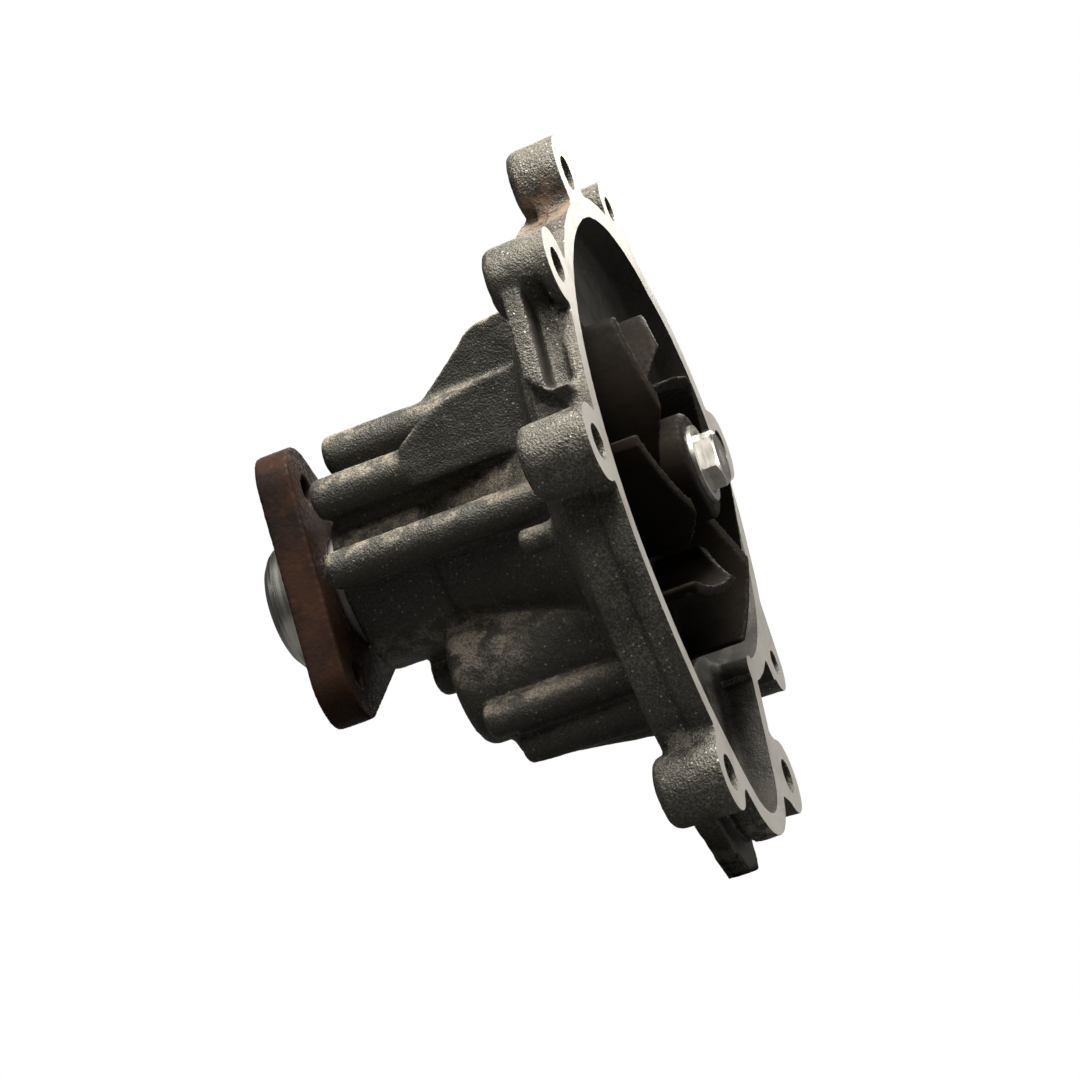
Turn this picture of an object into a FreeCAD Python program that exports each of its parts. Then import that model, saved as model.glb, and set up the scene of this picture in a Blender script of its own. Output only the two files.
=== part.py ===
import FreeCAD, Part
import math
import os

# Engine coolant pump. Millimetres, +Z up.
# X is the shaft axis: +X leaves the sealing face that bolts to the engine block,
# -X points to the pulley hub. The origin is where the shaft axis crosses the sealing face.

V = FreeCAD.Vector
X_AXIS = V(1, 0, 0)

# --- bolted flange -------------------------------------------------------------------
M8_HOLE_R = 4.5
M6_HOLE_R = 3.3
LIP_DEPTH = 6.0            # full-width lip behind the sealing face
WALL_DEPTH = 14.5          # depth of the chamber wall
LAND = 5.5                 # width of the sealing land around the chamber
LAND_BACK = 4.0            # wall thickness behind the lip
PAD_LIP = 3.4              # lip left in front of the pad between the near bosses
PAD_CHANNEL = 5.2          # width of the channel cored into that pad
# the chamber wall turns into its floor in small steps: (depth, inset)
CHAMBER_STEPS = ((8.2, 0.0), (9.8, 0.9), (11.0, 2.6))
# name: (y, z, boss radius, hole radius, boss length)
BOSSES = {
    "top": (7.9, 79.1, 10.2, M8_HOLE_R, 13.3),
    "top_far": (46.3, 70.7, 7.8, M6_HOLE_R, 8.0),
    "near_high": (-43.2, 54.3, 9.6, M8_HOLE_R, 16.5),
    "near_mid": (-68.1, 11.1, 9.7, M8_HOLE_R, 17.5),
    "near_low": (-52.3, -70.7, 9.4, M8_HOLE_R, 17.0),
    "far_low": (51.0, -53.0, 7.8, M6_HOLE_R, 14.0),
    "bottom": (14.3, -79.6, 9.7, M8_HOLE_R, 15.0),
    "far_mid": (85.0, 5.0, 9.4, M8_HOLE_R, 15.0),
}
BOSS_CORNER = 2.6
BOSS_DRAFT = 0.5           # a boss loses this much radius over its length

# --- bearing tower and shaft ---------------------------------------------------------
SNOUT_R = 22.4
SNOUT_END = -81.5
SNOUT_STEP = -58.0
TOWER_R = 21.2             # tower behind the step
SHAFT_R = 8.0
BEARING_R = 19.0
BEARING_BACK = -80.0
BEARING_FRONT = -42.0
RACE_R = 14.5
BALL_ROW = -71.0
ROLLER_ROW = -53.0
ELEMENT_R = 3.17           # radius of the balls and of the rollers
ELEMENT_PITCH_R = (SHAFT_R + RACE_R) / 2
BALL_COUNT = 8
ROLLER_COUNT = 10
ROLLER_LENGTH = 11.0
CAVITY_R = 16.0
CAVITY_FRONT = -37.0
SHELF_R = 12.0             # bulkhead hole around the shaft
CUP_R = 17.0
CUP_BACK = -35.0
CUP_RIM = -22.0
SEAL_POCKET_R = 20.0
BOWL_R = 46.5
BOWL_FLOOR = -18.0
RESERVOIR = (-6.0, -31.5)  # (y, z) of the drain chamber under the tower
RESERVOIR_R = 11.0
DRAIN_R = 2.2

# --- pulley hub ----------------------------------------------------------------------
PLATE_BACK = -85.6
PLATE_FRONT = -94.7
LOBE_PITCH_R = 28.0
LOBE_R = 11.6
LOBE_ANGLES = (106, 226, 346)
PULLEY_HOLE_R = 3.4
PILOT_R = 16.3
PILOT_TIP_R = 13.0
PILOT_TIP = -104.0
HUB_SLEEVE_R = 14.0
HUB_SEAT = 0.8             # seat in the plate for the collar of the hub
HUB_SEAT_R = 16.7

# --- impeller ------------------------------------------------------------------------
BLADE_COUNT = 7
BLADE_TIP_R = 44.3
BLADE_TIP_X = 3.7
BLADE_TIP_ANGLE = 24.87    # first tip, turned from +Z towards -Y
BLADE_PEAK_R = 30.5
BLADE_PEAK_X = 8.7
BLADE_PEAK_LAG = 32.27
BLADE_ROOT_R = 20.0
BLADE_ROOT_X = 0.0
BLADE_ROOT_LAG = 69.0
BLADE_THICK = 2.4
DISC_BACK = -16.0
DISC_FRONT = -12.5
HUB_R = 13.6
HUB_FACE = 8.4
WASHER_R = 9.8
WASHER_THICK = 1.1
BOLT_FLATS = 13.0
BOLT_HEAD = 4.4
BOLT_SHANK_R = 4.0


def polar(radius, degrees):
    """Point (y, z) at an angle counted from +Y towards +Z."""
    a = math.radians(degrees)
    return radius * math.cos(a), radius * math.sin(a)


def blade_point(radius, degrees):
    """Point (y, z) at an angle counted from +Z towards -Y, as the blades are laid out."""
    return polar(radius, 90 + degrees)


def rod(x0, x1, r, y=0.0, z=0.0):
    """Cylinder along X between x0 and x1."""
    return Part.makeCylinder(r, abs(x1 - x0), V(min(x0, x1), y, z), X_AXIS)


def tube(x0, x1, r_out, r_in):
    return rod(x0, x1, r_out).cut(rod(x0, x1, r_in))


def turned(profile, y=0.0, z=0.0):
    """Solid of revolution about a line along X through (y, z); profile is (x, radius) points."""
    points = [V(x, y, z + r) for x, r in profile]
    face = Part.Face(Part.makePolygon(points + points[:1]))
    return face.revolve(V(0, y, z), X_AXIS, 360)


def post(x_back, y, z, r, corner, x_front=-1.0, r_front=None):
    """Cast column along X with a rounded back end and a little draft."""
    r_front = r if r_front is None else r_front
    mid = corner * (1 - math.sqrt(0.5))
    arc = Part.Arc(V(x_back + corner, y, z + r), V(x_back + mid, y, z + r - mid),
                   V(x_back, y, z + r - corner)).toShape()
    side = Part.makePolygon([V(x_back, y, z + r - corner), V(x_back, y, z), V(x_front, y, z),
                             V(x_front, y, z + r_front), V(x_back + corner, y, z + r)])
    face = Part.Face(Part.Wire([arc] + side.Edges))
    return face.revolve(V(0, y, z), X_AXIS, 360)


def slab_yz(points, x0, x1):
    """Flat plate: (y, z) outline, thick along X."""
    corners = [V(min(x0, x1), y, z) for y, z in points]
    return Part.Face(Part.makePolygon(corners + corners[:1])).extrude(V(abs(x1 - x0), 0, 0))


def slab_xz(points, y0, y1):
    """Flat web: (x, z) outline, thick along Y."""
    corners = [V(x, y0, z) for x, z in points]
    return Part.Face(Part.makePolygon(corners + corners[:1])).extrude(V(0, y1 - y0, 0))


def joined(shapes):
    """One clean solid from overlapping ones."""
    first, *rest = shapes
    return first.fuse(rest).removeSplitter() if rest else first


def ring_of(make, count, start=0.0):
    """Copies of one solid turned evenly about the shaft axis."""
    solids = []
    for i in range(count):
        solid = make()
        solid.rotate(V(0, 0, 0), X_AXIS, start + 360.0 * i / count)
        solids.append(solid)
    return solids


def chamber_face():
    """Open side of the pump chamber: a scroll that runs out into the outlet at the bottom."""
    def at(y, z):
        return V(0, y, z)

    near, crown, shoulder = at(-60, -14), at(2, 66), at(58, 47)
    far, throat, tongue = at(66, -21), at(21, -49.5), at(13.5, -54)
    mouth_far, mouth_near = at(-3, -78), at(-34, -77)
    edges = [
        Part.Arc(near, at(-46, 34), crown),
        Part.Arc(crown, at(32, 65), shoulder),
        Part.Arc(shoulder, at(75.5, 14), far),
        Part.Arc(far, at(46, -42), throat),
        Part.Arc(throat, at(14.4, -49.6), tongue),
        Part.LineSegment(tongue, mouth_far),
        Part.Arc(mouth_far, at(-18, -85), mouth_near),
        Part.Arc(mouth_near, at(-50, -51), near),
    ]
    return Part.Face(Part.Wire([edge.toShape() for edge in edges]))


def grown(face, distance):
    """The same outline, moved outwards (or inwards when negative)."""
    return Part.Face(face.makeOffset2D(distance, 0, False, False).Wires[0]) if distance else face


def layer(face, x0, x1):
    """Plate with the face's outline between x0 and x1."""
    plate = face.copy()
    plate.translate(V(x0, 0, 0))
    return plate.extrude(V(x1 - x0, 0, 0))


def spoke_rib(degrees, radius, r, x_back):
    """Round rib beside the bearing tower, tied to it by a web."""
    y, z = polar(radius, degrees)
    web = Part.makeBox(-WALL_DEPTH - x_back - 2.5, radius - SNOUT_R + 6, 1.2 * r,
                       V(x_back + 2.5, SNOUT_R - 6, -0.6 * r))
    web.rotate(V(0, 0, 0), X_AXIS, degrees)
    return post(x_back, y, z, r, min(2.5, r - 1.0), -WALL_DEPTH + 1.0).fuse(web)


def shaft_bores():
    """Everything bored on the shaft axis: impeller bowl, seal pocket, shaft cavity, bearing seat."""
    return turned([(1, 0), (1, BOWL_R), (BOWL_FLOOR + 3, BOWL_R), (BOWL_FLOOR, BOWL_R - 3),
                   (BOWL_FLOOR, SEAL_POCKET_R), (CUP_RIM, SEAL_POCKET_R), (CUP_RIM, CUP_R),
                   (CUP_BACK, CUP_R), (CUP_BACK, SHELF_R), (CAVITY_FRONT, SHELF_R),
                   (CAVITY_FRONT, CAVITY_R), (BEARING_FRONT, CAVITY_R), (BEARING_FRONT, BEARING_R),
                   (SNOUT_END - 1, BEARING_R), (SNOUT_END - 1, 0)])


def pad_between_near_bosses():
    """Thick pad on the near wall under the upper boss, with a slanted underside."""
    pad = slab_yz([(-56, 20), (-61, 26.5), (-52.4, 51.5), (-46, 55.5), (-28, 55.5), (-28, 20)],
                  -WALL_DEPTH + 0.9, -PAD_LIP)
    underside = slab_xz([(-16, 33), (-16, 12), (-5, 12), (-5.5, 19), (-8.4, 25.3)], -70, -20)
    return pad.cut(underside)


def pad_channel():
    """Channel cored into the pad, with the flat that undercuts the boss above it."""
    return slab_yz([(-53.6, 26.4), (-45.5, 46.5), (-52.6, 53.2), (-66, 53.2), (-66, 26.4)],
                   -PAD_LIP - PAD_CHANNEL, -PAD_LIP)


def pump_housing():
    opening = chamber_face()
    solids = [layer(grown(opening, LAND), -LIP_DEPTH, 0),
              layer(grown(opening, LAND_BACK), -WALL_DEPTH, -LIP_DEPTH)]
    for y, z, r, hole_r, length in BOSSES.values():
        solids.append(post(-length, y, z, r - BOSS_DRAFT, BOSS_CORNER, 0.0, r))
    # necks that carry the outlying bosses
    solids.append(slab_yz([(-1, 60), (17, 60), (17, 78), (-1, 78)], -9, 0))
    solids.append(slab_yz([(66, -6), (86, -4.4), (86, 14.4), (66, 18)], -11, 0))
    solids.append(slab_yz([(38, 52), (58, 48), (54, 72), (42, 77)], -10, 0))
    solids.append(slab_yz([(42, -57), (36, -40), (62, -30), (58.7, -54)], -10, 0))
    solids.append(slab_yz([(8, -86), (-8, -80), (2, -62), (23, -76)], -10, 0))
    solids.append(slab_yz([(-57, -65), (-52, -79), (-36, -74), (-48, -53)], -12, 0))
    solids.append(pad_between_near_bosses())
    # lug under the outlet
    solids.append(slab_yz([(-44, -80), (-27, -96), (-15, -97), (-9, -86), (-20, -78)], -14.5, -8.5))
    # back of the pump: a cone that narrows to the bearing tower
    solids.append(turned([(-WALL_DEPTH + 1, 0), (-WALL_DEPTH + 1, 57), (-WALL_DEPTH - 2.5, 56),
                          (-20.5, 49), (-21.8, 42), (-23.5, 32), (-36, 27), (-46, 23.5),
                          (SNOUT_STEP, TOWER_R), (SNOUT_STEP - 2, TOWER_R), (SNOUT_STEP - 2, 0)]))
    solids.append(post(SNOUT_END, 0, 0, SNOUT_R, 1.0, SNOUT_STEP))
    # near-side ribs, top to bottom, and their plain counterparts on the far side
    for degrees, radius, r in ((83, 33.3, 5.5), (131.5, 30.2, 5.3), (170.5, 29.8, 4.8),
                               (38, 30.2, 5.3), (-4, 29.8, 4.8)):
        solids.append(spoke_rib(degrees, radius, r, SNOUT_END))
    solids.append(slab_xz([(-54, 30), (-54, 38.5), (-45, 45), (-37.4, 51), (-35, 52),
                           (-13.5, 54.5), (-13.5, 30)], 4.5, 9.0))
    solids.append(slab_xz([(-56, 18), (-56, 28), (-50, 31.6), (-42, 35.2), (-32, 36.8),
                           (-13.5, 38.5), (-13.5, 18)], -25.2, -17.5))
    solids.append(slab_xz([(-56, 14), (-56, 27), (-42, 34), (-13.5, 38), (-13.5, 14)], 19.5, 25.0))
    solids.append(post(-31, -43, -4.5, 3.2, 1.5, -WALL_DEPTH + 1))
    # drain chamber, belly and low ribs
    solids.append(post(-64, -6, -31.5, 16.5, 3.5, -WALL_DEPTH + 1))
    solids.append(post(-57, 0, -43, 12.0, 3.0, -WALL_DEPTH + 1, 17.5))
    solids.append(post(-58.5, -22.5, -42.0, 4.5, 2.0, -WALL_DEPTH + 1))
    solids.append(post(-53, -17.5, -50.3, 4.8, 2.0, -WALL_DEPTH + 1, 6.5))
    solids.append(post(-53, 17, -47, 4.6, 2.0, -WALL_DEPTH + 1, 6.5))
    solids.append(post(-74, 6, -27.3, 5.6, 2.2, -50))
    body = joined(solids)

    cuts = [layer(grown(opening, -inset), -depth, 1) for depth, inset in CHAMBER_STEPS]
    cuts.append(shaft_bores())
    cuts.append(pad_channel())
    for y, z, r, hole_r, length in BOSSES.values():
        cuts.append(rod(-length - 10, 1, hole_r, y, z))
    # drain chamber bore, the passage into it from the shaft cavity, and its outlet
    cuts.append(rod(-65, -40, RESERVOIR_R, *RESERVOIR))
    cuts.append(Part.makeCylinder(DRAIN_R, 22, V(-39.5, RESERVOIR[0], -9), V(0, 0, -1)))
    cuts.append(rod(-42, -38, DRAIN_R, RESERVOIR[0], -29))
    cuts.append(Part.makeCylinder(DRAIN_R, 36, V(-50, RESERVOIR[0], -30), V(0, 0, -1)))
    return body.cut(cuts).removeSplitter()


def reservoir_plug():
    """Pressed cup that closes the drain chamber."""
    y, z = RESERVOIR
    return rod(-63.5, -59.5, RESERVOIR_R, y, z).cut(rod(-64, -60.7, RESERVOIR_R - 1.2, y, z))


def bearing_outer_ring():
    return turned([(BEARING_BACK, BEARING_R), (BEARING_FRONT, BEARING_R), (BEARING_FRONT, RACE_R + 1),
                   (BEARING_FRONT - 3, RACE_R + 1), (BEARING_FRONT - 3, RACE_R),
                   (BEARING_BACK + 3, RACE_R), (BEARING_BACK + 3, RACE_R + 1), (BEARING_BACK, RACE_R + 1)])


def bearing_seal(x_outer, inward):
    """Lip seal pressed into one end of the bearing ring; it clears the shaft by a hair."""
    x_in = x_outer + inward * 2.0
    low, high = min(x_outer, x_in), max(x_outer, x_in)
    return tube(low, high, RACE_R + 1, SHAFT_R + 0.08)


def bearing_shaft():
    bar = turned([(PILOT_TIP + 1.5, 0), (PILOT_TIP + 1.5, SHAFT_R - 0.8), (PILOT_TIP + 2.3, SHAFT_R),
                  (HUB_FACE - 1.0, SHAFT_R), (HUB_FACE - 0.4, SHAFT_R - 0.6), (HUB_FACE - 0.4, 0)])
    return bar.cut(rod(-14, HUB_FACE, BOLT_SHANK_R + 0.05))


def ball_set():
    def ball():
        return Part.makeSphere(ELEMENT_R, V(BALL_ROW, ELEMENT_PITCH_R, 0))
    return Part.makeCompound(ring_of(ball, BALL_COUNT))


def roller_set():
    def roller():
        half = ROLLER_LENGTH / 2
        return rod(ROLLER_ROW - half, ROLLER_ROW + half, ELEMENT_R, ELEMENT_PITCH_R)
    return Part.makeCompound(ring_of(roller, ROLLER_COUNT))


def cage(x_mid, length, pocket, count):
    """Ring that spaces the rolling elements, with a pocket for each."""
    band = tube(x_mid - length / 2, x_mid + length / 2, ELEMENT_PITCH_R + 1.0, ELEMENT_PITCH_R - 1.0)
    return band.cut(ring_of(pocket, count))


def ball_cage():
    def pocket():
        return Part.makeSphere(ELEMENT_R + 0.12, V(BALL_ROW, ELEMENT_PITCH_R, 0))
    return cage(BALL_ROW, 9.0, pocket, BALL_COUNT)


def roller_cage():
    def pocket():
        half = ROLLER_LENGTH / 2 + 0.12
        return rod(ROLLER_ROW - half, ROLLER_ROW + half, ELEMENT_R + 0.12, ELEMENT_PITCH_R)
    return cage(ROLLER_ROW, 14.0, pocket, ROLLER_COUNT)


def slinger_ring():
    """Thrower disc on the shaft that keeps coolant out of the bearing."""
    return turned([(-41.0, SHAFT_R), (-38.0, SHAFT_R), (-38.0, 9.5), (-39.4, 9.5), (-39.9, 13.0),
                   (-40.7, 13.0), (-41.0, 9.5)])


def hub_flange():
    """Three-lobed pulley plate, pressed on the turned hub."""
    centres = [polar(LOBE_PITCH_R, a) for a in LOBE_ANGLES]
    shapes = [rod(PLATE_FRONT, PLATE_BACK, LOBE_R, y, z) for y, z in centres]
    corners = []
    for a in LOBE_ANGLES:
        y, z = polar(LOBE_PITCH_R, a)
        for side in (-60, 60):
            dy, dz = polar(LOBE_R, a + side)
            corners.append((y + dy, z + dz))
    shapes.append(slab_yz(corners, PLATE_FRONT, PLATE_BACK))
    plate = joined(shapes)
    cuts = [rod(PLATE_FRONT - 1, PLATE_BACK + 1, HUB_SLEEVE_R),
            rod(PLATE_FRONT - 1, PLATE_FRONT + HUB_SEAT, HUB_SEAT_R)]
    cuts += [rod(PLATE_FRONT - 1, PLATE_BACK + 1, PULLEY_HOLE_R, y, z) for y, z in centres]
    return plate.cut(cuts)


def pilot_hub():
    """Turned hub: pulley pilot outside the plate, sleeve on the shaft."""
    body = turned([(PILOT_TIP, 0), (PILOT_TIP, PILOT_TIP_R - 1.2), (PILOT_TIP + 0.5, PILOT_TIP_R),
                   (PILOT_TIP + 2.2, PILOT_R - 1.0), (PILOT_TIP + 3.6, PILOT_R),
                   (PLATE_FRONT, PILOT_R), (PLATE_FRONT, HUB_SEAT_R),
                   (PLATE_FRONT + HUB_SEAT, HUB_SEAT_R), (PLATE_FRONT + HUB_SEAT, HUB_SLEEVE_R),
                   (PLATE_BACK + 2.0, HUB_SLEEVE_R),
                   (PLATE_BACK + 2.0, 0)])
    return body.cut(rod(PILOT_TIP - 1, PLATE_BACK + 3, SHAFT_R))


def seal_cup():
    """Pressed sheet cup of the mechanical seal, with a rim against the housing."""
    return turned([(CUP_BACK, 10.2), (CUP_BACK, CUP_R), (CUP_RIM, CUP_R), (CUP_RIM, 19.2),
                   (CUP_RIM + 0.9, 19.2), (CUP_RIM + 0.9, CUP_R - 0.9), (CUP_BACK + 0.9, CUP_R - 0.9),
                   (CUP_BACK + 0.9, 10.2)])


def seal_spring():
    """Coil spring that pushes the carbon ring against the turning seat."""
    wire_r, coil_r, length = 0.7, 13.8, 9.2
    helix = Part.makeHelix(length / 4.5, length, coil_r)
    start = V(coil_r, 0, 0)
    section = Part.Wire(Part.makeCircle(wire_r, start, V(0, 1, 0)))
    coil = Part.Wire(helix.Edges).makePipeShell([section], True, True)
    coil.rotate(V(0, 0, 0), V(0, 1, 0), 90)
    coil.translate(V(CUP_BACK + 1.7, 0, 0))
    return coil


def seal_bellows():
    """Moulded rubber sleeve between the cup and the carbon ring, with one soft fold."""
    return turned([(CUP_BACK + 0.9, 9.0), (CUP_BACK + 0.9, 12.6), (CUP_BACK + 2.4, 12.6),
                   (CUP_BACK + 2.4, 10.6), (-28.5, 10.6), (-27.2, 12.2), (-26.0, 12.2), (-24.7, 10.6),
                   (-22.6, 10.6), (-22.6, 12.6), (-21.2, 12.6), (-21.2, 9.0), (-24.7, 9.0),
                   (-26.2, 10.4), (-27.0, 10.4), (-28.5, 9.0)])


def carbon_face():
    return turned([(-21.2, 9.3), (-21.2, 15.6), (-19.4, 15.6), (-19.4, 12.2), (-17.66, 12.2),
                   (-17.66, 9.3)])


def ceramic_seat():
    return tube(-17.6, -14.4, 12.8, SHAFT_R + 0.6)


def seat_boot():
    """Rubber cup that seats the ceramic ring in the back of the impeller."""
    return turned([(-17.0, 12.8), (-14.4, 12.8), (-14.4, SHAFT_R + 0.6), (-13.6, SHAFT_R + 0.6),
                   (-13.6, 14.2), (-17.0, 14.2)])


def blade():
    """One swept blade: a curved wall whose free edge climbs to a peak and drops to the hub."""
    tip = BLADE_TIP_ANGLE
    path = [(BLADE_TIP_R, tip), (BLADE_PEAK_R, tip + BLADE_PEAK_LAG), (BLADE_ROOT_R, tip + BLADE_ROOT_LAG)]
    a, b, c = [V(DISC_FRONT - 1, *blade_point(r, angle)) for r, angle in path]
    middle = Part.Arc(a, b, c)
    circle = middle.toShape().Curve
    centre, radius = circle.Center, circle.Radius

    def side(offset):
        return [centre + (p - centre).normalize() * (radius + offset) for p in (a, b, c)]

    half = BLADE_THICK / 2
    outer, inner = side(half), side(-half)
    wire = Part.Wire([Part.Arc(*outer).toShape(), Part.LineSegment(outer[2], inner[2]).toShape(),
                      Part.Arc(*reversed(inner)).toShape(), Part.LineSegment(inner[0], outer[0]).toShape()])
    return Part.Face(wire).extrude(V(BLADE_PEAK_X - DISC_FRONT + 3, 0, 0))


def impeller():
    blades = ring_of(blade, BLADE_COUNT)
    envelope = turned([(DISC_FRONT - 0.5, 0), (DISC_FRONT - 0.5, BLADE_TIP_R), (BLADE_TIP_X, BLADE_TIP_R),
                       (BLADE_PEAK_X, BLADE_PEAK_R), (BLADE_ROOT_X, BLADE_ROOT_R - 1.0),
                       (BLADE_ROOT_X - 3, HUB_R - 1), (BLADE_ROOT_X - 3, 0)])
    blades = [one.common(envelope) for one in blades]
    hub = turned([(DISC_BACK, 0), (DISC_BACK, BLADE_TIP_R), (DISC_FRONT, BLADE_TIP_R),
                  (DISC_FRONT, HUB_R + 4), (DISC_FRONT + 5, HUB_R), (HUB_FACE - 0.8, HUB_R),
                  (HUB_FACE, HUB_R - 0.8), (HUB_FACE, 0)])
    body = joined([hub] + blades)
    return body.cut([rod(DISC_BACK - 1, HUB_FACE + 1, SHAFT_R), rod(DISC_BACK - 1, -13.6, 14.2)])


def impeller_washer():
    return tube(HUB_FACE, HUB_FACE + WASHER_THICK, WASHER_R, BOLT_SHANK_R + 0.2)


def impeller_bolt():
    x0 = HUB_FACE + WASHER_THICK
    corner_r = BOLT_FLATS / math.sqrt(3)
    hexagon = [polar(corner_r, 12 + 60 * i) for i in range(6)]
    head = slab_yz(hexagon, x0, x0 + BOLT_HEAD)
    crown = turned([(x0 - 1, 0), (x0 - 1, corner_r), (x0 + BOLT_HEAD - 0.9, corner_r),
                    (x0 + BOLT_HEAD, corner_r - 1.5), (x0 + BOLT_HEAD, 0)])
    return joined([head.common(crown), rod(-12, x0 + 0.5, BOLT_SHANK_R)])


PARTS = {
    "pump_housing": pump_housing,
    "reservoir_plug": reservoir_plug,
    "bearing_outer_ring": bearing_outer_ring,
    "rear_bearing_seal": lambda: bearing_seal(BEARING_BACK, 1),
    "front_bearing_seal": lambda: bearing_seal(BEARING_FRONT, -1),
    "bearing_shaft": bearing_shaft,
    "ball_set": ball_set,
    "ball_cage": ball_cage,
    "roller_set": roller_set,
    "roller_cage": roller_cage,
    "slinger_ring": slinger_ring,
    "hub_flange": hub_flange,
    "pilot_hub": pilot_hub,
    "seal_cup": seal_cup,
    "seal_spring": seal_spring,
    "seal_bellows": seal_bellows,
    "carbon_face": carbon_face,
    "ceramic_seat": ceramic_seat,
    "seat_boot": seat_boot,
    "impeller": impeller,
    "impeller_washer": impeller_washer,
    "impeller_bolt": impeller_bolt,
}

os.makedirs("parts", exist_ok=True)
for name, make in PARTS.items():
    make().exportStep("parts/" + name + ".step")
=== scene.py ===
import math

import bmesh
import bpy
import numpy as np
from mathutils import Matrix, Vector


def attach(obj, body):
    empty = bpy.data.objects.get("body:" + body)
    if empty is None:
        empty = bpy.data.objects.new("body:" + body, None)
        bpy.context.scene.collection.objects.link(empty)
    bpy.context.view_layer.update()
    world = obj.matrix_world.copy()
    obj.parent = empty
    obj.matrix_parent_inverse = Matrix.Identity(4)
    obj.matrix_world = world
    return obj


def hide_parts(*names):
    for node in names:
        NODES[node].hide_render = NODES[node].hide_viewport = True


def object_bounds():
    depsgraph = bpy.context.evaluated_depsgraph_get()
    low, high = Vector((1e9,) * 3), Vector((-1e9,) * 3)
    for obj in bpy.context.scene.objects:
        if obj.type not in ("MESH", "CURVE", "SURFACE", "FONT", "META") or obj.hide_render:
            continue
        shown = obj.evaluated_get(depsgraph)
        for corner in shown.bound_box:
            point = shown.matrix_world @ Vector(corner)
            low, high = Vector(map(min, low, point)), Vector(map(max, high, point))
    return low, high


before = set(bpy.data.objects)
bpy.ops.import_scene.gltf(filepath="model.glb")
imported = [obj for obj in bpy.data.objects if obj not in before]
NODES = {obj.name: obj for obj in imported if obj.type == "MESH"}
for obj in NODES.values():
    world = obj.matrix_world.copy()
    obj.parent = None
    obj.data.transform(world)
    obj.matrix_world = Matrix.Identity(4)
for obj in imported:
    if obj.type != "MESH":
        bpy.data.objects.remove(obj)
CAD_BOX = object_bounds()
MM = 0.001

# --- view and light -------------------------------------------------------------------
CAMERA_AZIMUTH = 12.70      # degrees round from -Y towards +X
CAMERA_ELEVATION = -1.21
CAMERA_ROLL = -19.59
CAMERA_DISTANCE = 0.9664
CAMERA_SHIFT = (-0.03161, -0.01573)   # target's place across and up the picture, from the origin
CAMERA_LENS = 131.72
SENSOR_WIDTH = 36.0         # mm
NEAREST_SEEN = 0.01
WARM = (1.0, 0.965, 0.895)   # colour of the studio lamps
FLOOR_DROP = 0.5 * MM       # gap between the lowest point and the floor
FLOOR_SIZE = 8.0
FILL_LIGHT = 0.06           # even light from all round
# lamp panels: direction along the camera's right, up and back, distance, width and height, watts
PANELS = (("top_panel", (-0.08, 1.0, 0.14), 0.8, (0.6, 0.4), 19),
          ("right_panel", (1.0, 0.35, -0.16), 0.8, (0.30, 0.8), 3.9),
          ("front_panel", (-0.30, 0.90, 0.75), 0.9, (0.4, 0.3), 3),
          ("left_panel", (-1.0, 0.5, -0.2), 1.0, (0.4, 0.8), 0.8),
          ("back_panel", (0.1, 0.5, -1.0), 1.0, (0.6, 0.6), 7))

# --- shapes ---------------------------------------------------------------------------
# skins: voxel size, rounds of smoothing, and (lump size, height) of each set of ripples
HOUSING_SKIN = (0.75 * MM, 3, ((5 * MM, 0.35 * MM), (1.6 * MM, 0.16 * MM)))
PLATE_SKIN = (0.55 * MM, 7, ((4 * MM, 0.12 * MM), (1.0 * MM, 0.10 * MM)))
IMPELLER_SKIN = (0.5 * MM, 3, ((4 * MM, 0.12 * MM),))
WELD_GAP = 0.002 * MM       # corners closer than this are joined
FACE_BAND = 0.01 * MM       # corners this close to the sealing plane belong to it
SMOOTHING = 0.5
RIPPLE_MIDDLE = 0.55        # texture value that leaves the skin where it is
CUT_PRECISION = 1e-7
MILLING_STOCK = 3 * MM      # metal left on the sealing side before it is milled flat
BORDER_PASSES = 12          # rounds of clearing stray faces from the chamber's border
# chamber walls that take the coolant finish
CHAMBER_MIDDLE = (5 * MM, -8 * MM)     # across and height of the point the walls look at
CHAMBER_DEPTH = 19 * MM
CHAMBER_FLOOR = 7 * MM      # ledges deeper than this count as floor
FACES_IN = 0.25             # least lean of a wall towards the middle
FACES_OUT_OF_PLANE = 0.5    # least lean of a floor towards the sealing side
BOSS_MARGIN = 1.3           # mm of wall round a boss that stays bare
CAST, MILLED, COOLANT = 0, 1, 2        # finishes of the housing, in the order of its materials
# bolt bosses of the housing, in mm: place across, height, radius
BOSSES = ((7.9, 79.1, 10.2), (46.3, 70.7, 7.8), (-43.2, 54.3, 9.6), (-68.1, 11.1, 9.7),
          (-52.3, -70.7, 9.4), (51.0, -53.0, 7.8), (14.3, -79.6, 9.7), (85.0, 5.0, 9.4))

# --- where stains, clean metal and painted light lie on the housing, in metres ---------
CLEAN_SIDE = {"start": -0.034, "end": -0.014}
BULGE_END = {"start": -0.056, "end": -0.040}
# painted light: the pale patch on the bulge top is partly dust, partly light painted where the ribs and tower
# shade it
BULGE_TOP = {"across": -0.018, "height": -0.024, "reach": 0.013}
# painted light: the pale spot on the lower lug is partly bare metal, partly light painted onto its shaded
# face
LUG_BARE_AND_LIT = {"across": -0.024, "height": -0.090, "reach": 0.017}
TOP_STAIN = {"across": -0.001, "height": 0.068, "reach": 0.015}

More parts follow.
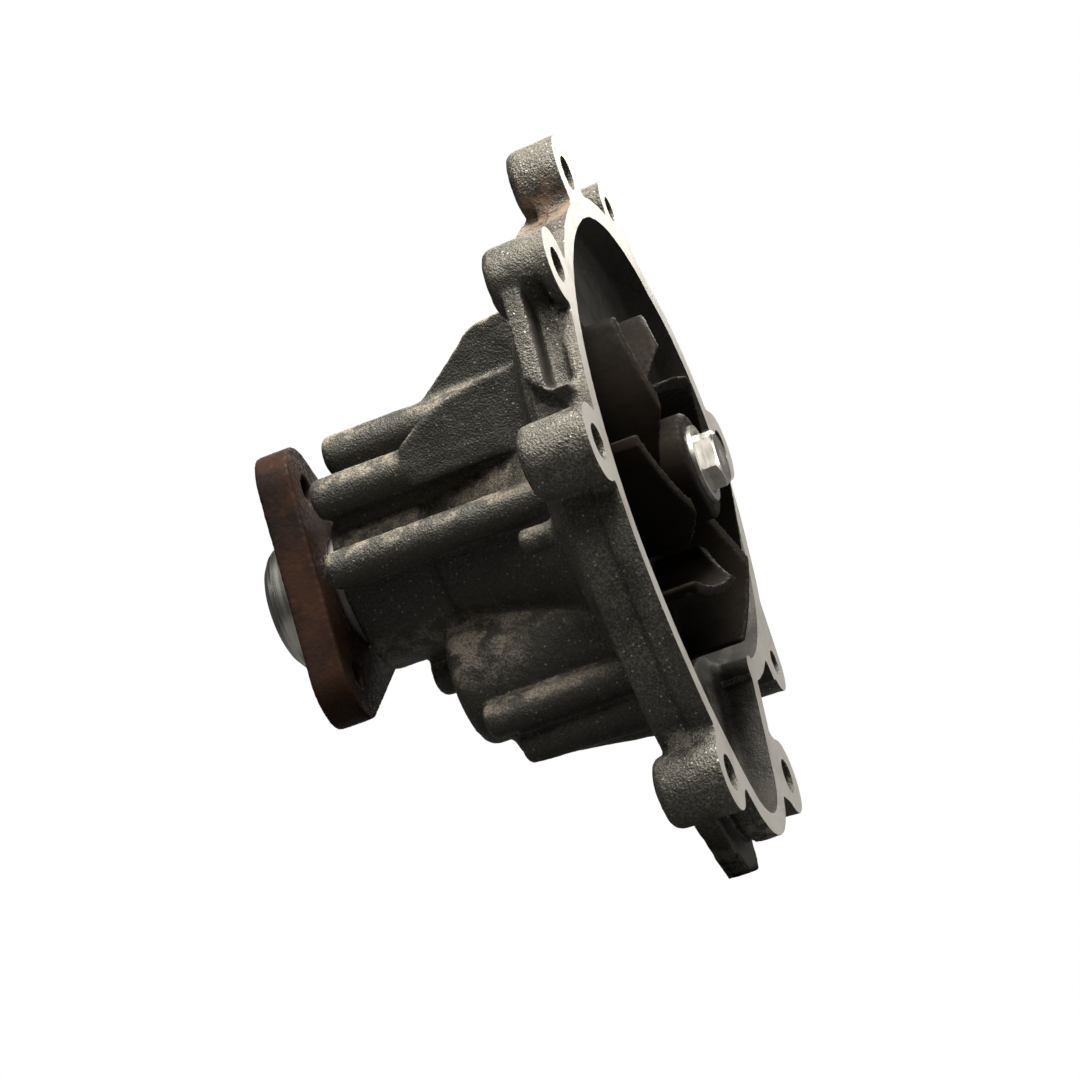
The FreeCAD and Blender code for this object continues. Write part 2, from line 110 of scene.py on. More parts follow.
# --- finishes (linear colours) --------------------------------------------------------
CAST_DARK = (0.060, 0.057, 0.048, 1)
CAST_MID = (0.082, 0.079, 0.070, 1)
CAST_PALE = (0.225, 0.215, 0.190, 1)
OIL = (0.028, 0.027, 0.022, 1)
DUST = (0.290, 0.250, 0.195, 1)
# pale dust on the bulge top, also painted light where the ribs shade it
BELLY_DUST_AND_LIGHT = (0.330, 0.285, 0.235, 1)
# pale bare metal on the lower lug, also painted light on its shaded face
BARE_AND_LIT = (0.420, 0.410, 0.370, 1)
# painted highlight: pale colour of the crystal specks that stand in for glints
CRYSTAL_GLINT = (0.550, 0.530, 0.480, 1)
COOLANT_STAIN = (0.260, 0.150, 0.085, 1)
COOLANT_FILM = (0.022, 0.020, 0.017, 1)
COOLANT_DRY = (0.050, 0.047, 0.041, 1)
MACHINED = (0.60, 0.58, 0.55, 1)
TARNISH = (0.30, 0.27, 0.23, 1)
RUST_DARK = (0.010, 0.007, 0.006, 1)
RUST_RED = (0.034, 0.015, 0.009, 1)
RUST_ORANGE = (0.090, 0.034, 0.014, 1)
IRON_DARK = (0.008, 0.007, 0.006, 1)
IRON_BROWN = (0.014, 0.0105, 0.0075, 1)
IRON_WORN = (0.08, 0.062, 0.046, 1)
STEEL = (0.55, 0.54, 0.52, 1)
GREASY_STEEL = (0.085, 0.080, 0.070, 1)
PLATED_STEEL = (0.60, 0.58, 0.55, 1)
BRASS = (0.56, 0.40, 0.17, 1)
RUBBER = (0.012, 0.012, 0.012, 1)
RUBBER_GREY = (0.022, 0.021, 0.020, 1)
CAGE_BROWN = (0.09, 0.055, 0.02, 1)
CAGE_DARK = (0.06, 0.036, 0.014, 1)
CARBON = (0.015, 0.015, 0.017, 1)
CARBON_GREY = (0.028, 0.028, 0.03, 1)
CERAMIC = (0.72, 0.70, 0.64, 1)
CERAMIC_GREY = (0.62, 0.60, 0.54, 1)


def camera_axes():
    """Right, up and backward directions of the camera."""
    azimuth, elevation, roll = (math.radians(a) for a in (CAMERA_AZIMUTH, CAMERA_ELEVATION, CAMERA_ROLL))
    back = Vector((math.sin(azimuth) * math.cos(elevation), -math.cos(azimuth) * math.cos(elevation),
                   math.sin(elevation)))
    level = Vector((0, 0, 1)).cross(back).normalized()
    upright = back.cross(level)
    right = math.cos(roll) * level + math.sin(roll) * upright
    up = math.cos(roll) * upright - math.sin(roll) * level
    return right, up, back


def add_camera():
    """Camera on the object's front quarter, rolled so that the sealing face leans."""
    right, up, back = camera_axes()
    position = right * CAMERA_SHIFT[0] + up * CAMERA_SHIFT[1] + back * CAMERA_DISTANCE
    data = bpy.data.cameras.new("camera")
    data.lens = CAMERA_LENS
    data.sensor_width = SENSOR_WIDTH
    data.clip_start = NEAREST_SEEN
    camera = bpy.data.objects.new("camera", data)
    camera.matrix_world = Matrix.Translation(position) @ Matrix((right, up, back)).transposed().to_4x4()
    bpy.context.scene.collection.objects.link(camera)
    bpy.context.scene.camera = camera


def add_panel(name, direction, distance, size, power):
    """Soft light panel that faces the object from a direction given along the camera's axes."""
    right, up, back = camera_axes()
    aim = (right * direction[0] + up * direction[1] + back * direction[2]).normalized()
    data = bpy.data.lights.new(name, "AREA")
    data.shape = "RECTANGLE"
    data.size, data.size_y = size
    data.energy = power
    data.color = WARM
    light = bpy.data.objects.new(name, data)
    low, high = CAD_BOX
    light.location = (low + high) / 2 + aim * distance
    light.rotation_euler = aim.to_track_quat("Z", "Y").to_euler()
    bpy.context.scene.collection.objects.link(light)


def seen_and_unseen(tree, seen, unseen, output_socket):
    """Gives the camera one shader directly, and all other rays the other."""
    path = tree.nodes.new("ShaderNodeLightPath")
    mix = tree.nodes.new("ShaderNodeMixShader")
    tree.links.new(path.outputs["Is Camera Ray"], mix.inputs["Fac"])
    tree.links.new(unseen.outputs[0], mix.inputs[1])
    tree.links.new(seen.outputs[0], mix.inputs[2])
    tree.links.new(mix.outputs[0], output_socket)


def add_world():
    """White backdrop, a dim even fill and plain tones."""
    world = bpy.data.worlds.new("studio")
    world.use_nodes = True
    tree = world.node_tree
    tree.nodes.clear()
    seen = tree.nodes.new("ShaderNodeBackground")
    seen.inputs["Strength"].default_value = 1.0
    seen.inputs["Color"].default_value = (1, 1, 1, 1)
    fill = tree.nodes.new("ShaderNodeBackground")
    fill.inputs["Color"].default_value = (1, 0.98, 0.94, 1)
    fill.inputs["Strength"].default_value = FILL_LIGHT
    out = tree.nodes.new("ShaderNodeOutputWorld")
    seen_and_unseen(tree, seen, fill, out.inputs["Surface"])
    bpy.context.scene.world = world
    bpy.context.scene.view_settings.view_transform = "Standard"


def add_floor():
    """Pale floor just under the lowest point."""
    low, high = CAD_BOX
    bpy.ops.mesh.primitive_plane_add(size=FLOOR_SIZE, location=(0, 0, low[2] - FLOOR_DROP))
    floor = bpy.context.object
    floor.name = "floor"
    material = bpy.data.materials.new("floor_white")
    material.use_nodes = True
    tree = material.node_tree
    tree.nodes.clear()
    pale = tree.nodes.new("ShaderNodeEmission")
    pale.inputs["Color"].default_value = (1, 1, 1, 1)
    matt = tree.nodes.new("ShaderNodeBsdfDiffuse")
    matt.inputs["Color"].default_value = (0.10, 0.10, 0.10, 1)
    out = tree.nodes.new("ShaderNodeOutputMaterial")
    seen_and_unseen(tree, pale, matt, out.inputs["Surface"])
    floor.data.materials.append(material)


# --- shared shader effects --------------------------------------------------------------
def new_group(name, inputs, outputs):
    """Empty shader group; inputs are (label, value), outputs are labels."""
    tree = bpy.data.node_groups.new(name, "ShaderNodeTree")
    for label, value in inputs:
        socket = tree.interface.new_socket(label, in_out="INPUT", socket_type="NodeSocketFloat")
        socket.default_value = value
    for label in outputs:
        tree.interface.new_socket(label, in_out="OUTPUT", socket_type="NodeSocketFloat")
    return tree, tree.nodes.new("NodeGroupInput"), tree.nodes.new("NodeGroupOutput")


def place(tree, kind, settings=None, inputs=None):
    """Adds a node, sets its properties, and fills its inputs with values or links."""
    node = tree.nodes.new(kind)
    for key, value in (settings or {}).items():
        setattr(node, key, value)
    for key, value in (inputs or {}).items():
        if isinstance(value, bpy.types.NodeSocket):
            tree.links.new(value, node.inputs[key])
        else:
            node.inputs[key].default_value = value
    return node


def math_node(tree, operation, a, b=0.0, clamp=False):
    """One sum, product or comparison of two values."""
    node = place(tree, "ShaderNodeMath", {"operation": operation, "use_clamp": clamp}, {0: a, 1: b})
    return node.outputs[0]


def ramp(tree, value, low, high, to_low=0.0, to_high=1.0):
    """Smooth step from low to high."""
    node = place(tree, "ShaderNodeMapRange", {"interpolation_type": "SMOOTHSTEP"},
                 {"Value": value, "From Min": low, "From Max": high, "To Min": to_low, "To Max": to_high})
    return node.outputs["Result"]


def noise_value(tree, scale, detail=2.0, roughness=0.5, vector=None):
    """Cloudy value fixed to the object."""
    coordinates = vector or tree.nodes.new("ShaderNodeTexCoord").outputs["Object"]
    node = place(tree, "ShaderNodeTexNoise", {},
                 {"Vector": coordinates, "Scale": scale, "Detail": detail, "Roughness": roughness})
    return node.outputs["Fac"]


def make_casting_grain():
    """Sandy skin of a casting: fine crystals over soft lumps, and crystal cells picked out to be painted pale
    as glints.
    """
    tree, given, result = new_group("casting_grain", (("Grains per metre", 1500.0), ("Coarseness", 0.5)),
                                    ("Speckle", "Height", "Sparkle"))
    scale = given.outputs["Grains per metre"]
    fine = noise_value(tree, scale, 2.0, 0.65)
    lumps = noise_value(tree, math_node(tree, "MULTIPLY", scale, 0.28), 3.0, 0.6)
    cells = place(tree, "ShaderNodeTexVoronoi", {"feature": "F1"},
                  {"Vector": tree.nodes.new("ShaderNodeTexCoord").outputs["Object"],
                   "Scale": math_node(tree, "MULTIPLY", scale, 0.7)}).outputs["Distance"]
    rough = math_node(tree, "MULTIPLY", given.outputs["Coarseness"], lumps)
    height = math_node(tree, "ADD", math_node(tree, "ADD", fine, rough),
                       math_node(tree, "MULTIPLY", cells, 0.5))
    speckle = ramp(tree, math_node(tree, "ADD", math_node(tree, "MULTIPLY", fine, 0.6),
                                   math_node(tree, "MULTIPLY", cells, 0.5)), 0.40, 0.78)
    crystals = place(tree, "ShaderNodeTexVoronoi", {"feature": "F1"},
                     {"Vector": tree.nodes.new("ShaderNodeTexCoord").outputs["Object"],
                      "Scale": math_node(tree, "MULTIPLY", scale, 0.35)})
    chosen = place(tree, "ShaderNodeSeparateXYZ", {}, {0: crystals.outputs["Color"]}).outputs[0]
    sparkle = math_node(tree, "MULTIPLY", ramp(tree, crystals.outputs["Distance"], 0.10, 0.28, 1.0, 0.0),
                        ramp(tree, chosen, 0.72, 0.78))
    tree.links.new(sparkle, result.inputs["Sparkle"])
    tree.links.new(speckle, result.inputs["Speckle"])
    tree.links.new(height, result.inputs["Height"])
    return tree


def make_patches():
    """Cloudy patches of oil, stain or rust."""
    tree, given, result = new_group("patches", (("Patches per metre", 60.0), ("Coverage", 0.5),
                                                ("Softness", 0.12)), ("Mask",))
    cloud = noise_value(tree, given.outputs["Patches per metre"], 5.0, 0.6)
    centre = math_node(tree, "SUBTRACT", 1.0, given.outputs["Coverage"])
    low = math_node(tree, "SUBTRACT", centre, given.outputs["Softness"])
    high = math_node(tree, "ADD", centre, given.outputs["Softness"])
    tree.links.new(ramp(tree, cloud, low, high), result.inputs["Mask"])
    return tree


def make_edge_wear():
    """Rubbed outer corners, broken up so that no edge is evenly bright."""
    tree, given, result = new_group("edge_wear", (("Reach", 0.06), ("Breaks per metre", 400.0)), ("Mask",))
    bend = tree.nodes.new("ShaderNodeNewGeometry").outputs["Pointiness"]
    edge = ramp(tree, bend, 0.515, math_node(tree, "ADD", 0.52, given.outputs["Reach"]))
    broken = ramp(tree, noise_value(tree, given.outputs["Breaks per metre"], 3.0, 0.6), 0.35, 0.65)
    tree.links.new(math_node(tree, "MULTIPLY", edge, broken, True), result.inputs["Mask"])
    return tree


def make_turning_marks():
    """Rings left by a lathe about the shaft axis, on faces and on round walls alike."""
    tree, given, result = new_group("turning_marks", (("Marks per metre", 2500.0),), ("Height",))
    where = tree.nodes.new("ShaderNodeTexCoord").outputs["Object"]
    split = place(tree, "ShaderNodeSeparateXYZ", {}, {0: where})
    flat = place(tree, "ShaderNodeCombineXYZ", {}, {1: split.outputs[1], 2: split.outputs[2]})
    radius = place(tree, "ShaderNodeVectorMath", {"operation": "LENGTH"}, {0: flat.outputs[0]})
    rings = place(tree, "ShaderNodeCombineXYZ", {}, {0: split.outputs[0], 1: radius.outputs["Value"]})
    height = noise_value(tree, given.outputs["Marks per metre"], 3.0, 0.7, rings.outputs[0])
    tree.links.new(height, result.inputs["Height"])
    return tree


def make_dust():
    """Pale deposit on surfaces that look up, gathered in patches."""
    tree, given, result = new_group("dust", (("Steepness", 0.5), ("Patches per metre", 100.0)), ("Mask",))
    normal = tree.nodes.new("ShaderNodeNewGeometry").outputs["Normal"]
    split = place(tree, "ShaderNodeSeparateXYZ", {}, {0: normal})
    high = math_node(tree, "ADD", given.outputs["Steepness"], 0.45)
    upward = ramp(tree, split.outputs[2], given.outputs["Steepness"], high)
    cloud = ramp(tree, noise_value(tree, given.outputs["Patches per metre"], 5.0, 0.7), 0.44, 0.60)
    tree.links.new(math_node(tree, "MULTIPLY", upward, cloud), result.inputs["Mask"])
    return tree


def make_along():
    """Rises from start to end along the shaft, with a ragged border."""
    tree, given, result = new_group("along", (("Start", -0.03), ("End", -0.01)), ("Mask",))
    where = tree.nodes.new("ShaderNodeTexCoord").outputs["Object"]
    split = place(tree, "ShaderNodeSeparateXYZ", {}, {0: where})
    ragged = ramp(tree, noise_value(tree, 70.0, 4.0, 0.6), 0.0, 1.0, -0.008, 0.008)
    mask = ramp(tree, math_node(tree, "ADD", split.outputs[0], ragged), given.outputs["Start"],
                given.outputs["End"])
    tree.links.new(mask, result.inputs["Mask"])
    return tree


def make_spot():
    """Ragged spot round a line parallel to the shaft."""
    tree, given, result = new_group("spot", (("Across", 0.0), ("Height", 0.0), ("Reach", 0.01)), ("Mask",))
    where = tree.nodes.new("ShaderNodeTexCoord").outputs["Object"]
    split = place(tree, "ShaderNodeSeparateXYZ", {}, {0: where})
    dy = math_node(tree, "SUBTRACT", split.outputs[1], given.outputs["Across"])
    dz = math_node(tree, "SUBTRACT", split.outputs[2], given.outputs["Height"])
    offset = place(tree, "ShaderNodeCombineXYZ", {}, {1: dy, 2: dz})
    distance = place(tree, "ShaderNodeVectorMath", {"operation": "LENGTH"}, {0: offset.outputs[0]})
    near = ramp(tree, math_node(tree, "DIVIDE", distance.outputs["Value"], given.outputs["Reach"]),
                0.3, 1.0, 1.0, 0.0)
    cloud = ramp(tree, noise_value(tree, 260.0, 4.0, 0.6), 0.42, 0.58)
    tree.links.new(math_node(tree, "MULTIPLY", near, cloud), result.inputs["Mask"])
    return tree


GROUPS = {
    "dust": make_dust(),
    "along": make_along(),
    "spot": make_spot(),
    "grain": make_casting_grain(),
    "patches": make_patches(),
    "wear": make_edge_wear(),
    "turning": make_turning_marks(),
}


def effect(tree, name, **values):
    """Places a shared effect in a material with its own values."""
    node = tree.nodes.new("ShaderNodeGroup")
    node.node_tree = GROUPS[name]
    for key, value in values.items():
        node.inputs[key.replace("_", " ").capitalize()].default_value = value
    return node.outputs


def blend(tree, mask, base, top):
    """Colour that goes from base to top as the mask rises."""
    node = place(tree, "ShaderNodeMix", {"data_type": "RGBA"})
    for index, value in ((0, mask), (6, base), (7, top)):
        if isinstance(value, bpy.types.NodeSocket):
            tree.links.new(value, node.inputs[index])
        else:
            node.inputs[index].default_value = value
    return node.outputs[2]


def new_material(name, metallic=0.0, specular=0.5):
    """Material with its tree and its Principled shader."""
    material = bpy.data.materials.new(name)
    material.use_nodes = True
    shader = material.node_tree.nodes["Principled BSDF"]
    shader.inputs["Metallic"].default_value = metallic
    shader.inputs["Specular IOR Level"].default_value = specular
    return material, material.node_tree, shader


def finish_shader(tree, shader, colour, roughness, height, depth, strength=1.0):
    """Joins colour, roughness and a bump of the given depth to the shader."""
    tree.links.new(colour, shader.inputs["Base Color"])
    tree.links.new(roughness, shader.inputs["Roughness"])
    bump = place(tree, "ShaderNodeBump", {}, {"Strength": strength, "Distance": depth, "Height": height})
    tree.links.new(bump.outputs[0], shader.inputs["Normal"])


def cast_aluminium():
    """Sand-cast skin: clean and bright near the flange, oily towards the pulley, dusty on top."""
    material, tree, shader = new_material("cast_aluminium")
    grain = effect(tree, "grain", grains_per_metre=2300.0, coarseness=0.8)
    clean = effect(tree, "along", **CLEAN_SIDE)["Mask"]
    lit = effect(tree, "patches", patches_per_metre=45.0, coverage=0.55, softness=0.2)["Mask"]
    fresh = blend(tree, grain["Speckle"], CAST_MID, CAST_PALE)
    colour = blend(tree, lit, CAST_MID, fresh)
    grimy = blend(tree, grain["Speckle"], OIL, CAST_DARK)
    colour = blend(tree, clean, grimy, colour)
    oil = effect(tree, "patches", patches_per_metre=90.0, coverage=0.42, softness=0.10)["Mask"]
    colour = blend(tree, math_node(tree, "MULTIPLY", oil, 0.5), colour, OIL)
    wear = effect(tree, "wear", reach=0.10, breaks_per_metre=500.0)["Mask"]
    colour = blend(tree, math_node(tree, "MULTIPLY", wear, 0.35), colour, CAST_PALE)
    dust = effect(tree, "dust", steepness=0.15, patches_per_metre=130.0)["Mask"]
    dust = math_node(tree, "MULTIPLY", dust, ramp(tree, grain["Speckle"], 0.0, 0.6, 0.35, 1.0))
    colour = blend(tree, math_node(tree, "MULTIPLY", dust, ramp(tree, clean, 0.0, 1.0, 0.85, 0.25)),
                   colour, DUST)
    # painted light: pale patch on the bulge top, partly dust, partly light painted in where the ribs and
    # tower shade it
    belly_dust_and_light = effect(tree, "spot", **BULGE_TOP)["Mask"]
    rear = ramp(tree, effect(tree, "along", **BULGE_END)["Mask"], 0.0, 1.0, 1.0, 0.0)
    belly_dust_and_light = math_node(tree, "MULTIPLY", math_node(tree, "MULTIPLY", belly_dust_and_light, rear),
                      ramp(tree, grain["Speckle"], 0.0, 0.7, 0.3, 1.0))
    colour = blend(tree, math_node(tree, "MULTIPLY", belly_dust_and_light, 0.75), colour, BELLY_DUST_AND_LIGHT)
    # painted highlights: crystal specks painted pale as glints, more of them near the flange
    sparkle = math_node(tree, "MULTIPLY", grain["Sparkle"], ramp(tree, clean, 0.0, 1.0, 0.35, 0.90))
    colour = blend(tree, sparkle, colour, CRYSTAL_GLINT)
    # painted light: pale spot on the lower lug, partly bare metal, partly light painted onto its shaded face
    bare_and_lit = effect(tree, "spot", **LUG_BARE_AND_LIT)["Mask"]
    colour = blend(tree, math_node(tree, "MULTIPLY", bare_and_lit, 0.8), colour, BARE_AND_LIT)
    stain = effect(tree, "spot", **TOP_STAIN)["Mask"]
    colour = blend(tree, math_node(tree, "MULTIPLY", stain, 0.55), colour, COOLANT_STAIN)
    # dust, the stain and the painted-light bulge patch take away the metal look
    covered_and_lit = math_node(tree, "MAXIMUM", math_node(tree, "MAXIMUM", dust, belly_dust_and_light), stain)
    metal = math_node(tree, "MULTIPLY", ramp(tree, clean, 0.0, 1.0, 0.15, 0.80),
                      ramp(tree, covered_and_lit, 0.0, 1.0, 1.0, 0.2))
    tree.links.new(metal, shader.inputs["Metallic"])
    roughness = math_node(tree, "ADD", ramp(tree, oil, 0.0, 1.0, 0.52, 0.40),
                          math_node(tree, "MULTIPLY", dust, 0.25))
    finish_shader(tree, shader, colour, roughness, grain["Height"], 0.27 * MM, 0.9)
    return material


def coolant_side():
    """Casting inside the chamber, darkened by coolant."""
    material, tree, shader = new_material("coolant_side", metallic=0.3)
    grain = effect(tree, "grain", grains_per_metre=2300.0, coarseness=0.8)
    film = effect(tree, "patches", patches_per_metre=50.0, coverage=0.5, softness=0.2)["Mask"]
    colour = blend(tree, film, COOLANT_FILM, COOLANT_DRY)
    colour = blend(tree, math_node(tree, "MULTIPLY", grain["Speckle"], 0.3), colour, CAST_MID)
    roughness = ramp(tree, film, 0.0, 1.0, 0.45, 0.62)
    finish_shader(tree, shader, colour, roughness, grain["Height"], 0.14 * MM, 0.7)
    return material


def machined_face():
    """Milled sealing face: bright, with faint arcs and gasket stains."""
    material, tree, shader = new_material("machined_face", metallic=0.55)
    marks = effect(tree, "turning", marks_per_metre=1400.0)["Height"]
    stain = effect(tree, "patches", patches_per_metre=80.0, coverage=0.40, softness=0.16)["Mask"]
    colour = blend(tree, math_node(tree, "MULTIPLY", stain, 0.45), MACHINED, TARNISH)
    roughness = ramp(tree, marks, 0.3, 0.7, 0.34, 0.50)
    finish_shader(tree, shader, colour, roughness, marks, 0.02 * MM, 0.5)
    return material


def rusted_steel():
    """Even brown rust with redder blooms, dark and pitted."""
    material, tree, shader = new_material("rusted_steel", specular=0.12)
    grain = effect(tree, "grain", grains_per_metre=1300.0, coarseness=1.0)
    red = effect(tree, "patches", patches_per_metre=55.0, coverage=0.50, softness=0.16)["Mask"]
    orange = effect(tree, "patches", patches_per_metre=170.0, coverage=0.36, softness=0.08)["Mask"]
    colour = blend(tree, red, RUST_DARK, RUST_RED)
    colour = blend(tree, math_node(tree, "MULTIPLY", orange, 0.35), colour, RUST_ORANGE)
    roughness = ramp(tree, grain["Speckle"], 0.0, 1.0, 0.55, 0.85)
    finish_shader(tree, shader, colour, roughness, grain["Height"], 0.10 * MM, 0.6)
    return material


def stained_iron():
    """Impeller iron browned by coolant, worn paler on its free edges."""
    material, tree, shader = new_material("stained_iron", specular=0.05)
    grain = effect(tree, "grain", grains_per_metre=1100.0, coarseness=0.8)
    stain = effect(tree, "patches", patches_per_metre=70.0, coverage=0.5, softness=0.2)["Mask"]
    wear = effect(tree, "wear", reach=0.08, breaks_per_metre=300.0)["Mask"]
    colour = blend(tree, stain, IRON_DARK, IRON_BROWN)
    colour = blend(tree, math_node(tree, "MULTIPLY", wear, 0.6), colour, IRON_WORN)
    roughness = ramp(tree, grain["Speckle"], 0.0, 1.0, 0.5, 0.8)
    finish_shader(tree, shader, colour, roughness, grain["Height"], 0.08 * MM, 0.5)
    return material


def turned_steel(name, base, low, high, tarnish):
    """Lathe-turned steel with ring marks and light tarnish."""
    material, tree, shader = new_material(name, metallic=1.0)
    marks = effect(tree, "turning", marks_per_metre=900.0)["Height"]
    stain = effect(tree, "patches", patches_per_metre=220.0, coverage=0.40, softness=0.12)["Mask"]
    colour = blend(tree, math_node(tree, "MULTIPLY", stain, tarnish), base, TARNISH)
    roughness = ramp(tree, marks, 0.3, 0.7, low, high)
    finish_shader(tree, shader, colour, roughness, marks, 0.012 * MM, 0.35)
    return material


def moulded(name, base, shade, roughness_low, roughness_high, metallic=0.0):
    """Plain moulded or sintered stuff: slight mottling and a fine texture."""
    material, tree, shader = new_material(name, metallic=metallic)
    grain = effect(tree, "grain", grains_per_metre=2200.0, coarseness=0.4)
    cloud = effect(tree, "patches", patches_per_metre=150.0, coverage=0.5, softness=0.2)["Mask"]
    colour = blend(tree, cloud, base, shade)
    roughness = ramp(tree, grain["Speckle"], 0.0, 1.0, roughness_low, roughness_high)
    finish_shader(tree, shader, colour, roughness, grain["Height"], 0.02 * MM, 0.4)
    return material


# --- skins --------------------------------------------------------------------------------
def welded(node):
    """Working copy of a CAD node's mesh with its seams closed."""
    work = bmesh.new()
    work.from_mesh(NODES[node].data)
    bmesh.ops.remove_doubles(work, verts=work.verts, dist=WELD_GAP)
    return work


def clouds(name, size):
    """Cloud texture that moves a skin in and out."""
    texture = bpy.data.textures.new(name, "CLOUDS")
    texture.noise_scale = size
    texture.noise_depth = 2
    return texture


def as_cast(work, name, cell, rounding, ripples):
    """Closed skin with rounded corners and filled roots; ripples are (lump size, height) pairs."""
    mesh = bpy.data.meshes.new(name + "_work")
    work.to_mesh(mesh)
    work.free()
    piece = bpy.data.objects.new(name + "_work", mesh)
    bpy.context.scene.collection.objects.link(piece)
    remesh = piece.modifiers.new("skin", "REMESH")
    remesh.mode = "VOXEL"
    remesh.voxel_size = cell
    smooth = piece.modifiers.new("round", "SMOOTH")
    smooth.factor = SMOOTHING
    smooth.iterations = rounding
    for i, (size, height) in enumerate(ripples):
        ripple = piece.modifiers.new("ripple" + str(i), "DISPLACE")
        ripple.texture = clouds(name + "_ripple" + str(i), size)
        ripple.texture_coords = "LOCAL"
        ripple.strength = height
        ripple.mid_level = RIPPLE_MIDDLE
    graph = bpy.context.evaluated_depsgraph_get()
    skin = bpy.data.meshes.new_from_object(piece.evaluated_get(graph))
    bpy.data.objects.remove(piece)
    skin.name = name
    return skin


def dress(skin, name, node, body, materials):
    """Makes the skin the shown piece for a CAD node."""
    places = [polygon.material_index for polygon in skin.polygons]
    skin.materials.clear()
    for material in materials:
        skin.materials.append(material)
    skin.polygons.foreach_set("material_index", places)
    piece = bpy.data.objects.new(name, skin)
    bpy.context.scene.collection.objects.link(piece)
    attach(piece, body)
    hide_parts(node)
    return piece


def mill_flat(skin, x):
    """Cuts the skin flat at x and closes the cut with a sharp-edged machined face."""
    work = bmesh.new()
    work.from_mesh(skin)
    cut = bmesh.ops.bisect_plane(work, geom=work.verts[:] + work.edges[:] + work.faces[:], dist=CUT_PRECISION,
                                 plane_co=(x, 0, 0), plane_no=(1, 0, 0), clear_outer=True)
    rim = [item for item in cut["geom_cut"] if isinstance(item, bmesh.types.BMEdge)]
    filled = bmesh.ops.triangle_fill(work, edges=rim, use_beauty=True, normal=(1, 0, 0))
    for face in work.faces:
        face.smooth = True
        face.material_index = CAST
    for item in filled["geom"]:
        if isinstance(item, bmesh.types.BMFace):
            item.material_index = MILLED
            item.smooth = False
    for edge in rim:
        edge.smooth = False
    work.to_mesh(skin)
    work.free()


def mark_chamber(skin):
    """Gives the coolant-side finish to the walls that look in at the chamber."""
    middle_y, middle_z = CHAMBER_MIDDLE
    for polygon in skin.polygons:
        centre, normal = polygon.center, polygon.normal
        inward = Vector((0, middle_y - centre.y, middle_z - centre.z)).normalized()
        clear = all(math.hypot(centre.y - y * MM, centre.z - z * MM) > (r + BOSS_MARGIN) * MM
                    for y, z, r in BOSSES)
        is_wall = normal.dot(inward) > FACES_IN
        is_floor = normal.x > FACES_OUT_OF_PLANE and centre.x < -CHAMBER_FLOOR
        in_depth = -CHAMBER_DEPTH < centre.x
        if polygon.material_index == CAST and clear and (is_wall or is_floor) and in_depth:
            polygon.material_index = COOLANT
    settle_borders(skin)


def settle_borders(skin):
    """Lets a stray face take the cast or coolant finish of most of its neighbours."""
    count = len(skin.polygons)
    marks = np.empty(count, np.int32)
    skin.polygons.foreach_get("material_index", marks)
    corners = np.empty(count, np.int32)
    skin.polygons.foreach_get("loop_total", corners)
    edges = np.empty(len(skin.loops), np.int32)
    skin.loops.foreach_get("edge_index", edges)
    order = np.argsort(edges, kind="stable")
    owner = np.repeat(np.arange(count), corners)[order]
    shared = edges[order][1:] == edges[order][:-1]
    one, other = owner[:-1][shared], owner[1:][shared]
    sides = np.bincount(one, minlength=count) + np.bincount(other, minlength=count)
    for _ in range(BORDER_PASSES):
        wet = (marks == COOLANT).astype(float)
        votes = np.bincount(one, wet[other], count) + np.bincount(other, wet[one], count)
        marks[(marks != MILLED) & (votes > sides / 2)] = COOLANT
        marks[(marks != MILLED) & (votes < sides / 2)] = CAST
    skin.polygons.foreach_set("material_index", marks)


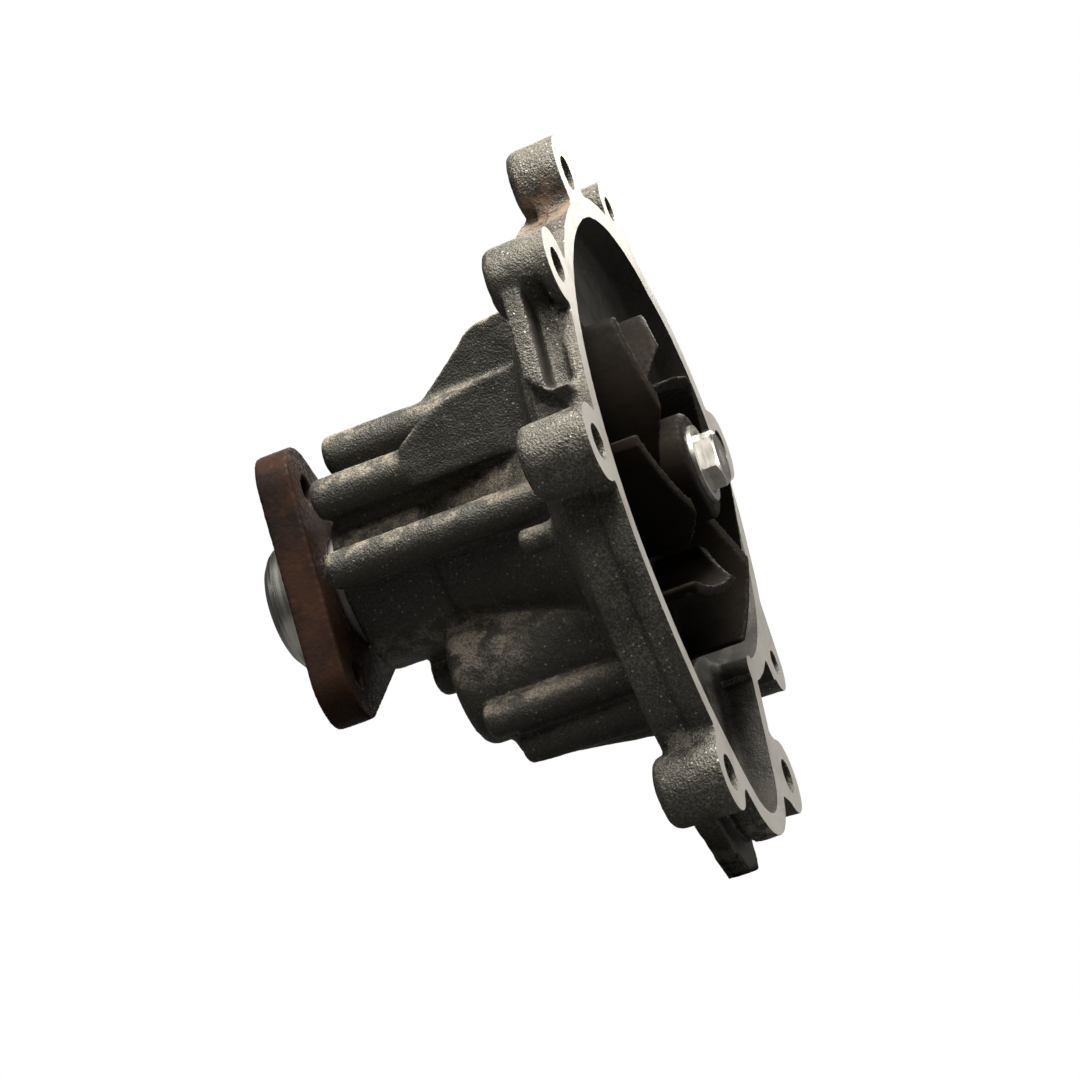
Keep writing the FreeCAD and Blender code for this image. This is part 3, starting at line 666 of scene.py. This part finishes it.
def housing():
    """Cast skin of the housing, grown past the sealing side and then milled back."""
    work = welded("pump_housing")
    for vert in work.verts:
        if vert.co.x > -FACE_BAND:
            vert.co.x += MILLING_STOCK
    skin = as_cast(work, "housing_casting", *HOUSING_SKIN)
    mill_flat(skin, 0.0)
    mark_chamber(skin)
    dress(skin, "housing_casting", "pump_housing", "housing",
          [cast_aluminium(), machined_face(), coolant_side()])


def pulley_plate():
    """Forged skin of the three-lobed plate."""
    skin = as_cast(welded("hub_flange"), "pulley_plate", *PLATE_SKIN)
    shade_smooth(skin)
    dress(skin, "pulley_plate", "hub_flange", "rotor", [rusted_steel()])


def impeller():
    """Cast skin of the impeller."""
    skin = as_cast(welded("impeller"), "impeller_casting", *IMPELLER_SKIN)
    shade_smooth(skin)
    dress(skin, "impeller_casting", "impeller", "rotor", [stained_iron()])


def shade_smooth(skin):
    """Hides the facets of a skin."""
    skin.polygons.foreach_set("use_smooth", [True] * len(skin.polygons))


def give(nodes, material):
    """Puts one material on CAD nodes that keep their own shape."""
    for node in nodes:
        for slot in NODES[node].material_slots:
            slot.material = material


def small_parts():
    """Finishes of the pieces that keep their CAD shape."""
    give(["pilot_hub"], turned_steel("pilot_steel", STEEL, 0.20, 0.38, 0.25))
    give(["bearing_shaft", "ball_set", "roller_set"],
         turned_steel("ground_steel", STEEL, 0.14, 0.24, 0.15))
    give(["slinger_ring", "bearing_outer_ring"],
         turned_steel("greasy_steel", GREASY_STEEL, 0.35, 0.55, 0.2))
    give(["impeller_washer", "impeller_bolt", "seal_spring", "reservoir_plug"],
         turned_steel("plated_steel", PLATED_STEEL, 0.26, 0.45, 0.5))
    give(["seal_cup"], turned_steel("seal_brass", BRASS, 0.25, 0.40, 0.4))
    give(["seal_bellows", "seat_boot", "front_bearing_seal", "rear_bearing_seal"],
         moulded("black_rubber", RUBBER, RUBBER_GREY, 0.5, 0.7))
    give(["ball_cage", "roller_cage"],
         moulded("cage_plastic", CAGE_BROWN, CAGE_DARK, 0.4, 0.6))
    give(["carbon_face"], moulded("carbon", CARBON, CARBON_GREY, 0.3, 0.5, 0.3))
    give(["ceramic_seat"], moulded("ceramic", CERAMIC, CERAMIC_GREY, 0.12, 0.25))


add_world()
add_camera()
for panel in PANELS:
    add_panel(*panel)
add_floor()
housing()
pulley_plate()
impeller()
small_parts()
